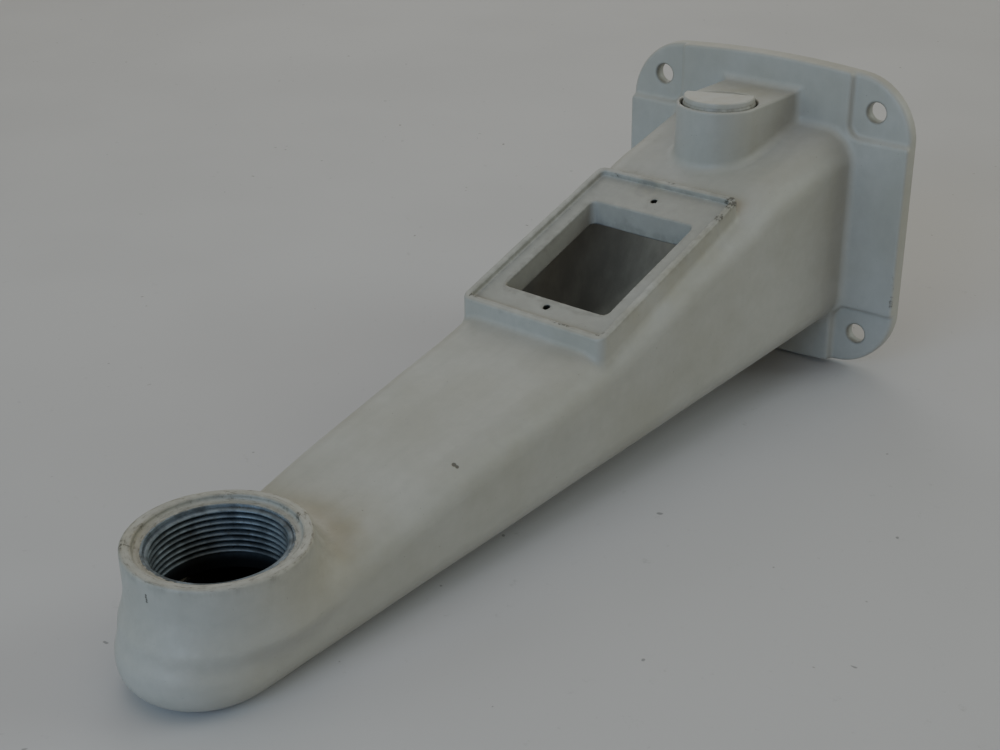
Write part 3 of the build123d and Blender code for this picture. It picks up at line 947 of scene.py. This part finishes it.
class MakeSeal(bpy.types.Operator):
    """Makes the rubber ring under the plug's head."""
    bl_idname = "wall_arm.seal"
    bl_label = "Plug seal"

    def execute(self, context):
        low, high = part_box("plug_seal")
        piece, _ = draw_field("seal", seal_field, low, high, 0.3 * MM, 40000, 0.6 * MM)
        piece.data.materials.append(material_once(seal_rubber))
        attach(piece, "seal")
        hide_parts("plug_seal")
        return {"FINISHED"}


# Soft lights: name, place in metres, size in metres, watts and tint. A cold window faces the arm's end; warm
# walls and a pale ceiling fill the rest
LIGHTS = (("front_window", (0.2, -2.4, 0.8), 1.6, 21.0, (0.49, 0.71, 1.0)),
          ("front_left", (-1.5, -1.9, 0.9), 1.6, 4.4, (0.64, 0.93, 1.0)),
          ("back_left", (-1.6, 1.4, 1.2), 1.6, 6.5, (0.88, 0.93, 1.0)),
          ("back_right", (1.6, 1.4, 1.2), 1.6, 13.4, (0.87, 1.0, 0.97)),
          ("ceiling", (0.0, -0.17, 2.2), 2.0, 6.0, (0.97, 0.93, 1.0)))
LIGHT_TARGET = (0.0, -0.17, -0.03)
ROOM_TINT = (1.0, 0.89, 0.62)
ROOM_STRENGTH = 0.324
# Camera: a short telephoto view from the right, in front and above, with its place and target in millimetres
CAMERA_LENS = 54.97
CAMERA_PLACE = (340.65, -585.73, 230.47)
CAMERA_TARGET = (-10.1, -176.8, -27.0)
CAMERA_ROLL = math.radians(-0.78)
FLOOR_HALF = 3.0


def aimed(place, target):
    """The turn that points a lamp or a camera from its place at a target."""
    return (Vector(target) - Vector(place)).to_track_quat("-Z", "Y")


class MakeStage(bpy.types.Operator):
    """Lays the object on a pale table under soft light, with the camera in front."""
    bl_idname = "wall_arm.stage"
    bl_label = "Stage"

    def execute(self, context):
        scene = bpy.context.scene
        # the arm lies on the flange's lower edge and on its own round end
        flange_low = -settings().flange.height / 2
        slope = (flange_low - settings().arm.end_bottom) / settings().arm.reach
        corners = [(x * FLOOR_HALF, y * FLOOR_HALF) for x, y in ((-1, -1), (1, -1), (1, 1), (-1, 1))]
        heights = np.array([(x, y, flange_low - 0.3 * MM + y * slope) for x, y in corners])
        floor = mesh_object("floor", heights, np.array([[0, 1, 2, 3]]))
        floor.data.materials.append(material_once(pale_laminate))
        for name, place, size, watts, tint in LIGHTS:
            lamp = linked(name, bpy.data.lights.new(name, "AREA"))
            lamp.location = place
            lamp.rotation_euler = aimed(place, LIGHT_TARGET).to_euler()
            lamp.data.shape, lamp.data.size, lamp.data.energy, lamp.data.color = "DISK", size, watts, tint
        scene.world = bpy.data.worlds.new("room")
        scene.world.use_nodes = True
        background = scene.world.node_tree.nodes["Background"].inputs
        background["Color"].default_value = rgba(ROOM_TINT)
        background["Strength"].default_value = ROOM_STRENGTH
        scene.camera = linked("camera", bpy.data.cameras.new("camera"))
        scene.camera.data.lens = CAMERA_LENS
        scene.camera.data.sensor_width = 36.0
        place, target = Vector(CAMERA_PLACE) * MM, Vector(CAMERA_TARGET) * MM
        turn = aimed(place, target).to_matrix() @ Matrix.Rotation(CAMERA_ROLL, 3, "Z")
        scene.camera.matrix_world = Matrix.Translation(place) @ turn.to_4x4()
        return {"FINISHED"}


class ArmPanel(bpy.types.Panel):
    """Lists the arm's pieces."""
    bl_idname = "VIEW3D_PT_wall_arm"
    bl_label = "Wall Arm"
    bl_space_type = "VIEW_3D"
    bl_region_type = "UI"
    bl_category = "Wall Arm"

    def draw(self, context):
        for operator in OPERATORS:
            self.layout.operator(operator.bl_idname)
        for group in ("arm", "flange", "ring", "window", "boss", "colours"):
            box = self.layout.box()
            box.label(text=group.capitalize())
            owner = getattr(settings(), group)
            for name in owner.__annotations__:
                box.prop(owner, name)


GROUPS = (ArmSizes, FlangeSizes, RingSizes, WindowSizes, BossSizes, FinishColours, ArmSettings)
OPERATORS = (MakeCasting, MakeRingThread, MakeBossThread, MakePlug, MakeSeal, MakeStage)


def register():
    for item in (*GROUPS, *OPERATORS, ArmPanel):
        bpy.utils.register_class(item)
    bpy.types.Scene.wall_arm = PointerProperty(type=ArmSettings)


def unregister():
    del bpy.types.Scene.wall_arm
    for item in reversed((*GROUPS, *OPERATORS, ArmPanel)):
        bpy.utils.unregister_class(item)


def main():
    register()
    for operator in OPERATORS:
        group, name = operator.bl_idname.split(".")
        getattr(getattr(bpy.ops, group), name)()


if __name__ == "__main__":
    main()
